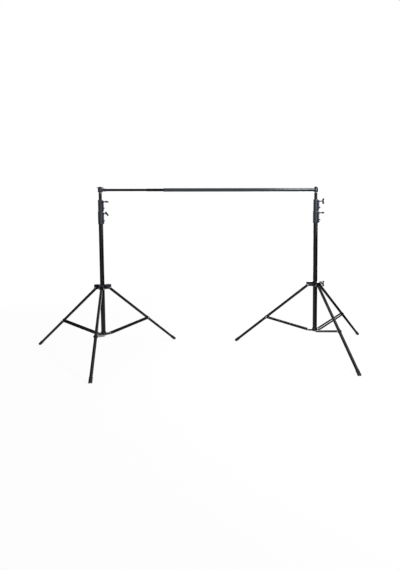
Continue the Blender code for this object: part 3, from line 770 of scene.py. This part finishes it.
def arm():
    """Two cheeks, the web between them and the root block, along +x. They start inside the
    sleeve's wall, and the web and the block reach into the cheeks."""
    start = 0.8 * HUB_R
    top = HUB_HIGH - GAP
    outline = np.concatenate([
        [(start, top), (ARM_END - END_ROUND, top)],
        nose(ARM_END - END_ROUND, top - END_ROUND, END_ROUND, 80, 10, 4),
        nose(PIVOT_R, 0, NOSE_R + 0.0020, 0, -20, 3),
        nose(PIVOT_R, 0, NOSE_R, -25, -90, 7),
        [(start, -NOSE_R)]])
    web_end = ARM_END - 0.0008
    web = line((start, top - 0.0004, 0), (web_end, top - 0.0004, 0.003),
               (web_end, top - WEB_T, 0.001), (start, top - WEB_T, 0))
    root = np.array([(start, top - 0.002), (ARM_ROOT, top - 0.002),
                     (ARM_ROOT, -NOSE_R + 0.0006), (start, -NOSE_R + 0.0006)])
    inner = CHEEK_IN + 0.0008
    return [slab(outline, CHEEK_IN, CHEEK_OUT), slab(outline, -CHEEK_OUT, -CHEEK_IN),
            slab(web, -inner, inner), slab(root, -inner, inner)]


def leg_hub():
    """The sleeve, the three arms and the boss for the clamp screw."""
    shells = [turned(line((HUB_R, HUB_LOW, 0.0012), (HUB_R, HUB_HIGH, 0.0016),
                          (HUB_BORE, HUB_HIGH, 0.0004), (HUB_BORE, HUB_LOW, 0.0004)),
                     56, ring=True)]
    for step in range(3):
        shells += [shell.moved(turn(120 * step, "Z")) for shell in arm()]
    shells.append(boss(HUB_BOSS_Z, HUB_BOSS_R, HUB_R - 0.002, HUB_BOSS_REACH))
    return shells


hinge_z = joints["left_leg_1_fold"]["pos_m"][2]
for side in SIDES:
    seat = stands[side] @ shift(z=hinge_z)
    piece(f"{side}_leg_crown", f"{side}_leg_hub", "collar_plastic",
          [shell.moved(seat) for shell in leg_hub()], [f"{side}_leg_hub"],
          bevel=PLATE_BEVEL, finish="hub_plastic")
print("leg hinges at", hinge_z)

# %% [markdown]
# ## Hinge bolts
# A hexagon head and nut are a turned shape with six sides, and the corner that a real head loses
# to its chamfer is a short cone on top.

# %% The bolts through the arms
BOLT_R = 0.0036
HEAD_R, HEAD_T = 0.0065, 0.0040
CHAMFER_FROM, CHAMFER_TO = 0.8, 0.84


def hinge_bolt():
    """A shaft along y with a chamfered six-sided head on each end."""
    start = CHEEK_OUT + GAP
    top = start + HEAD_T
    end = start + 0.001
    head = turned(line((0, start, 0), (HEAD_R, start, 0), (HEAD_R, start + HEAD_T * CHAMFER_FROM, 0),
                       (HEAD_R * CHAMFER_TO, top, 0), (0, top, 0), steps=1), 6)
    shaft = turned(line((0, -end, 0), (BOLT_R, -end, 0), (BOLT_R, end, 0), (0, end, 0), steps=1), 24)
    return [shaft.moved(turn(90, "X")), head.moved(turn(90, "X")),
            head.moved(turn(-90, "X"))]


spokes = {(side, number): stands[side] @ turn(120 * (number - 1), "Z")
          for side in SIDES for number in (1, 2, 3)}
for (side, number), spoke in spokes.items():
    seat = spoke @ shift(x=PIVOT_R, z=hinge_z)
    piece(f"{side}_hinge_bolt_{number}", f"{side}_leg_hub", "bright_zinc",
          [shell.moved(seat) for shell in hinge_bolt()], [f"{side}_leg_bolt_{number}"])
print("hinge bolts:", len(spokes))

# %% [markdown]
# ## Legs and feet
# A leg is a plain tube with a moulded saddle where its brace is hinged. The foot is a rubber cap
# that the floor has cut flat: every point that would lie under the floor slides up along the leg
# until it is on it.

# %% Legs, saddles and caps
LEG_R = 0.011
LEG_WALL = 0.0012
LEG_L = 0.800
LEG_HEAD = 0.008
LEG_JOINT = 0.4545
FOOT_Z = 0.012
CAP_WALL = 0.0012
CAP_R = LEG_R + GAP + CAP_WALL
CAP_BELOW, CAP_ABOVE = 0.012, 0.030
GROOVE_PITCH, GROOVE_HALF, GROOVE_DEPTH = 0.0055, 0.0012, 0.0006
SADDLE_HALF = 0.013
BUSH_R = 0.0072
STRIP_T = 0.002
STRIP_IN = CAP_R + SLIDE
STRIP_OUT = STRIP_IN + STRIP_T
leg_tilt = math.acos((hinge_z - FOOT_Z) / LEG_L)
print("legs lean", round(math.degrees(leg_tilt), 2), "degrees from upright")


def saddle():
    """The sleeve round the leg at the brace hinge, and the bush across it."""
    bore = LEG_R + 0.0001
    ring = turned(line((bore, -SADDLE_HALF, 0), (CAP_R, -SADDLE_HALF, 0.0008),
                       (CAP_R, SADDLE_HALF, 0.0008), (bore, SADDLE_HALF, 0)), 44, ring=True)
    half = STRIP_IN - GAP
    bush = turned(line((0, -half, 0), (BUSH_R, -half, 0.0004), (BUSH_R, half, 0.0004),
                       (0, half, 0)), 32)
    return [ring.moved(shift(z=-LEG_JOINT)), bush.moved(shift(z=-LEG_JOINT) @ turn(90, "X"))]


def foot_cap():
    """The cap with three shallow grooves and a rounded toe."""
    seat = -LEG_L - GAP
    bore = LEG_R + 0.0002
    grooves = []
    for step in range(3):
        z = seat + 0.008 + GROOVE_PITCH * step
        grooves += [(CAP_R, z - GROOVE_HALF, 0.0003), (CAP_R - GROOVE_DEPTH, z, 0.0003),
                    (CAP_R, z + GROOVE_HALF, 0.0003)]
    return turned(line((0, seat - CAP_BELOW, 0), (CAP_R, seat - CAP_BELOW, 0.0022), *grooves,
                       (CAP_R, seat + CAP_ABOVE, 0.0006), (bore, seat + CAP_ABOVE, 0.0003),
                       (bore, seat, 0), (0, seat, 0)), 44)


def on_floor(shell, axis):
    """Each point lower than the floor moves along the axis by -z / axis_z, onto the floor."""
    axis = np.array(axis)
    sink = np.clip(-shell.points[:, 2:], 0, None)
    shell.points = shell.points + sink / axis[2] * axis
    return shell


for (side, number), spoke in spokes.items():
    seat = spoke @ shift(x=PIVOT_R, z=hinge_z) @ turn(-math.degrees(leg_tilt), "Y")
    body = f"{side}_leg_{number}"
    piece(f"{side}_leg_pipe_{number}", body, "black_tube",
          [tube(LEG_R, LEG_WALL, -LEG_L, LEG_HEAD, 44).moved(seat)], [f"{side}_leg_{number}"])
    piece(f"{side}_leg_saddle_{number}", body, "knob_plastic",
          [shell.moved(seat) for shell in saddle()])
    piece(f"{side}_foot_cap_{number}", body, "foot_rubber",
          [on_floor(foot_cap().moved(seat), seat.to_3x3() @ Vector((0, 0, 1)))],
          [f"{side}_foot_{number}"])

# %% [markdown]
# ## Braces
# A brace is a pair of flat steel strips, one on either side of the leg, riveted at the leg and
# hinged on a pin at the lower hub.

# %% Strips and rivets
STRIP_H = 0.0155
RIVET_R, RIVET_T = 0.0055, 0.0025
DOME_R = 0.62 * RIVET_R
BRACE_PIN_R = 0.0032
brace_z = joints["left_brace_1_fold"]["pos_m"][2]
joint_out = LEG_JOINT * math.sin(leg_tilt)
joint_up = hinge_z - LEG_JOINT * math.cos(leg_tilt) - brace_z
brace_l = math.hypot(joint_out, joint_up)
brace_tilt = math.degrees(math.atan2(joint_out, joint_up))
print("braces", round(1000 * brace_l, 1), "mm long, leaning", round(brace_tilt, 2))


def strips():
    """Two strips with round ends, 2 mm thick."""
    outline = pill(brace_l, STRIP_H / 2, 14)
    return [slab(outline, STRIP_IN, STRIP_OUT), slab(outline, -STRIP_OUT, -STRIP_IN)]


def rivets():
    """A domed head outside each strip at both hinges, and the pin through the lower one."""
    dome = turned(line((0, STRIP_OUT - 0.0008, 0), (RIVET_R, STRIP_OUT - 0.0008, 0),
                       (RIVET_R, STRIP_OUT + 0.0008, 0.0003),
                       (DOME_R, STRIP_OUT + RIVET_T, 0.0016),
                       (0, STRIP_OUT + RIVET_T, 0)), 28)
    shells = [dome.moved(shift(z=rise) @ turn(side_turn, "X"))
              for rise in (0, brace_l) for side_turn in (90, -90)]
    pin = turned(line((0, -STRIP_OUT, 0), (BRACE_PIN_R, -STRIP_OUT, 0),
                      (BRACE_PIN_R, STRIP_OUT, 0), (0, STRIP_OUT, 0)), 20)
    return shells + [pin.moved(turn(90, "X"))]


for (side, number), spoke in spokes.items():
    seat = spoke @ shift(x=PIVOT_R, z=brace_z) @ turn(brace_tilt, "Y")
    body = f"{side}_brace_{number}"
    piece(f"{side}_brace_strips_{number}", body, "black_strip",
          [shell.moved(seat) for shell in strips()], [body], bevel=0.0004)
    piece(f"{side}_brace_rivets_{number}", body, "bright_zinc",
          [shell.moved(seat) for shell in rivets()])

# %% [markdown]
# ## The lower hub and the plug
# The lower hub is fixed to the foot of the column. Its three tongues fill the space between the
# strips of each brace. A plug closes the column from below.

# %% Lower hub and plug
FOOT_HUB_LOW, FOOT_HUB_HIGH = -0.0085, 0.0209
FOOT_HUB_BORE = COLUMN_R + GAP
FOOT_HUB_R = FOOT_HUB_BORE + 0.0037
TONGUE_H = 0.015
FLANGE_H, PLUG_H = 0.003, 0.017


def brace_hub():
    """A sleeve with three round-nosed tongues, which start inside its wall."""
    start = 0.88 * FOOT_HUB_R
    half = TONGUE_H / 2
    shells = [turned(line((FOOT_HUB_R, FOOT_HUB_LOW, 0.0012), (FOOT_HUB_R, FOOT_HUB_HIGH, 0.0014),
                          (FOOT_HUB_BORE, FOOT_HUB_HIGH, 0.0003),
                          (FOOT_HUB_BORE, FOOT_HUB_LOW, 0.0003)), 56, ring=True)]
    outline = np.concatenate([[(start, half)], nose(PIVOT_R, 0, half, 90, -90, 15),
                              [(start, -half)]])
    tongue = slab(outline, -STRIP_IN + GAP, STRIP_IN - GAP)
    return shells + [tongue.moved(turn(120 * step, "Z")) for step in range(3)]


def end_plug():
    """A flange under the column and a stem inside it."""
    stem_r = COLUMN_R - WALL - GAP
    return turned(line((0, 0, 0), (COLUMN_R, 0, 0.0008), (COLUMN_R, FLANGE_H, 0.0004),
                       (stem_r, FLANGE_H, 0), (stem_r, PLUG_H, 0.001), (0, PLUG_H, 0)))


for side in SIDES:
    seat = stands[side] @ shift(z=brace_z)
    piece(f"{side}_brace_crown", f"{side}_column", "collar_plastic",
          [shell.moved(seat) for shell in brace_hub()], [f"{side}_brace_hub"],
          bevel=PLATE_BEVEL, finish="hub_plastic")
    piece(f"{side}_end_plug", f"{side}_column", "knob_plastic",
          [end_plug().moved(seat @ shift(z=FOOT_HUB_LOW))], [f"{side}_column_plug"])
print("lower hubs at", round(brace_z, 4))

# %% [markdown]
# ## Studs
# A zinc-plated steel stud sits in the top of each stand. Only its flange and neck show under
# the fitting of the crossbar; the pin runs through the fitting and ends in a thread.

# %% The studs
PLUG_R, PLUG_DEPTH = 0.0107, 0.040
FLANGE_R, FLANGE_TOP = STAGE_R["top"], 0.0064
NECK_R, NECK_TOP = 0.0080, 0.0088
PIN_R = 0.0060
THREAD_R, THREAD_CORE_R, THREAD_L = 0.0040, 0.0034, 0.0075


def stud(foot_z, tip_z):
    """Plug, flange, neck, pin and a thread of rings, from the tube up."""
    thread_z = tip_z - THREAD_L
    rings = []
    for step in range(5):
        z = thread_z + THREAD_PITCH * (step + 0.5)
        rings += [(THREAD_CORE_R, z, 0), (THREAD_R, z + THREAD_PITCH / 2, 0)]
    return turned(line((0, foot_z - PLUG_DEPTH, 0), (PLUG_R, foot_z - PLUG_DEPTH, 0.001),
                       (PLUG_R, foot_z + GAP, 0), (FLANGE_R, foot_z + GAP, 0.0003),
                       (FLANGE_R, foot_z + FLANGE_TOP, 0.0007),
                       (NECK_R, foot_z + FLANGE_TOP + 0.0004, 0.0003),
                       (NECK_R, foot_z + NECK_TOP, 0.0004), (PIN_R, foot_z + NECK_TOP, 0),
                       (PIN_R, thread_z, 0.0005), *rings, (THREAD_CORE_R, tip_z, 0.0004),
                       (0, tip_z, 0)))


for side in SIDES:
    foot_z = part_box(f"{side}_top_tube")[1].z
    tip_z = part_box(f"{side}_stud")[1].z
    piece(f"{side}_spigot", f"{side}_top", "bright_zinc",
          [stud(foot_z, tip_z).moved(stands[side])], [f"{side}_stud"], finish="dull_zinc")
print("stud tips at", round(tip_z, 4))

# %% [markdown]
# ## The crossbar
# Four tubes slide in one another. A moulded fitting on each end drops over the stud: the left
# one tapers onto the thin tube, the right one carries a spline inside the thick tube.

# %% Bar tubes
BAR_R = {"thick": 0.0140, "core": 0.0125, "slim": 0.0110, "thin": 0.0095}
BAR_WALL = 0.001
bar_z = joints["left_swivel"]["pos_m"][2]
bar_y = stands["left"].translation.y
ALONG = turn(90, "Y")
bar_axis = shift(y=bar_y, z=bar_z) @ ALONG
for name, radius in BAR_R.items():
    low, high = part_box(f"bar_{name}")
    slot = "slate_bar" if name == "thick" else "black_bar"
    piece(f"bar_{name}_pipe", f"bar_{name}", slot,
          [tube(radius, BAR_WALL, low.x, high.x).moved(bar_axis)], [f"bar_{name}"])
print("bar axis at y", round(bar_y, 4), "z", round(bar_z, 4))

# %% End fittings
FITTING_R = 0.018
FITTING_DROP, FITTING_RISE = 0.018, 0.0147
STUD_BORE = 0.0065
ROOT_X = 0.009
SLEEVE_R, SLEEVE_L = 0.0130, 0.030
SPLINE_L = 0.042


def barrel():
    """The upright barrel round the stud, with rounded edges."""
    return turned(line((FITTING_R, -FITTING_DROP, 0.0024), (FITTING_R, FITTING_RISE, 0.0026),
                       (STUD_BORE, FITTING_RISE, 0.0003), (STUD_BORE, -FITTING_DROP, 0.0005)),
                  64, ring=True)


def tapered_sleeve():
    """The socket on the thin tube, along z from the barrel."""
    bore = BAR_R["thin"] + GAP
    end = FITTING_R + SLEEVE_L
    floor_x = FITTING_R + SLIDE
    return turned(line((0, ROOT_X, 0), (SLEEVE_R, ROOT_X, 0), (SLEEVE_R, FITTING_R, 0.001),
                       (bore + 0.0012, end, 0.0004), (bore, end, 0.0003),
                       (bore, floor_x, 0), (0, floor_x, 0)))


def spline():
    """The flange and spline of the fitting on the thick tube, along z."""
    flange = BAR_R["thick"]
    inside = flange - BAR_WALL - GAP
    face = FITTING_R + 0.001
    end = face + SPLINE_L
    return turned(line((0, ROOT_X, 0), (flange, ROOT_X, 0), (flange, face, 0.0005),
                       (inside, face, 0), (inside, end, 0.001), (0, end, 0)))


bar_seats = {side: shift(*middle(f"{side}_wing_knob").xy, bar_z) for side in SIDES}
piece("left_bar_socket", "bar_thin", "collar_plastic",
      [shell.moved(bar_seats["left"]) for shell in (barrel(), tapered_sleeve().moved(ALONG))],
      ["left_bar_fitting"])
piece("right_bar_socket", "bar_thick", "collar_plastic",
      [shell.moved(bar_seats["right"]) for shell in (barrel(), spline().moved(OUTWARD))],
      ["right_bar_fitting"])

# %% Wing nuts
WING_SPAN = 0.060
WING_CORE_R, WING_CORE_H = 0.0125, 0.0105
WING_Z, WING_DROOP = 0.0052, 0.0038
ROOT_HALF_W, TIP_HALF_W = 0.0090, 0.0045
ROOT_HALF_T, TIP_HALF_T = 0.0030, 0.0018
TIP_STARTS = 0.86
NUT_BORE, NUT_BORE_TOP = 0.0045, 0.0078


def wings():
    """Half width and half thickness shrink linearly from the root to the tip, where they close
    like an ellipse, and the middle line droops with the square of the distance."""
    share = np.sin(np.linspace(-math.pi / 2, math.pi / 2, 49))
    away = np.abs(share)
    close = np.sqrt(1 - np.clip((away - TIP_STARTS) / (1 - TIP_STARTS), 0, 1) ** 2.2)
    wide = (ROOT_HALF_W + (TIP_HALF_W - ROOT_HALF_W) * away) * close
    tall = (ROOT_HALF_T + (TIP_HALF_T - ROOT_HALF_T) * away) * close
    rise = WING_Z - WING_DROOP * share ** 2
    return lofted(WING_SPAN / 2 * share, 0.0, rise, wide, tall, oval(2.6, 28))


def nut_core():
    """The domed middle of the nut, over the thread of the stud."""
    return turned(line((NUT_BORE, 0, 0.0003), (WING_CORE_R, 0, 0.0006),
                       (WING_CORE_R, 0.0058, 0.0014), (0.0090, 0.0095, 0.0020),
                       (0.0038, WING_CORE_H, 0.0006), (0, WING_CORE_H, 0),
                       (0, NUT_BORE_TOP, 0), (NUT_BORE, NUT_BORE_TOP, 0)))


WING_TURN = {"left": 0.0, "right": 90.0}
for side in SIDES:
    seat = bar_seats[side] @ shift(z=FITTING_RISE + GAP) @ turn(WING_TURN[side] + 90, "Z")
    piece(f"{side}_wing_nut", f"{side}_wing_knob", "knob_plastic",
          [nut_core().moved(seat), wings().moved(seat)], [f"{side}_wing_knob"])
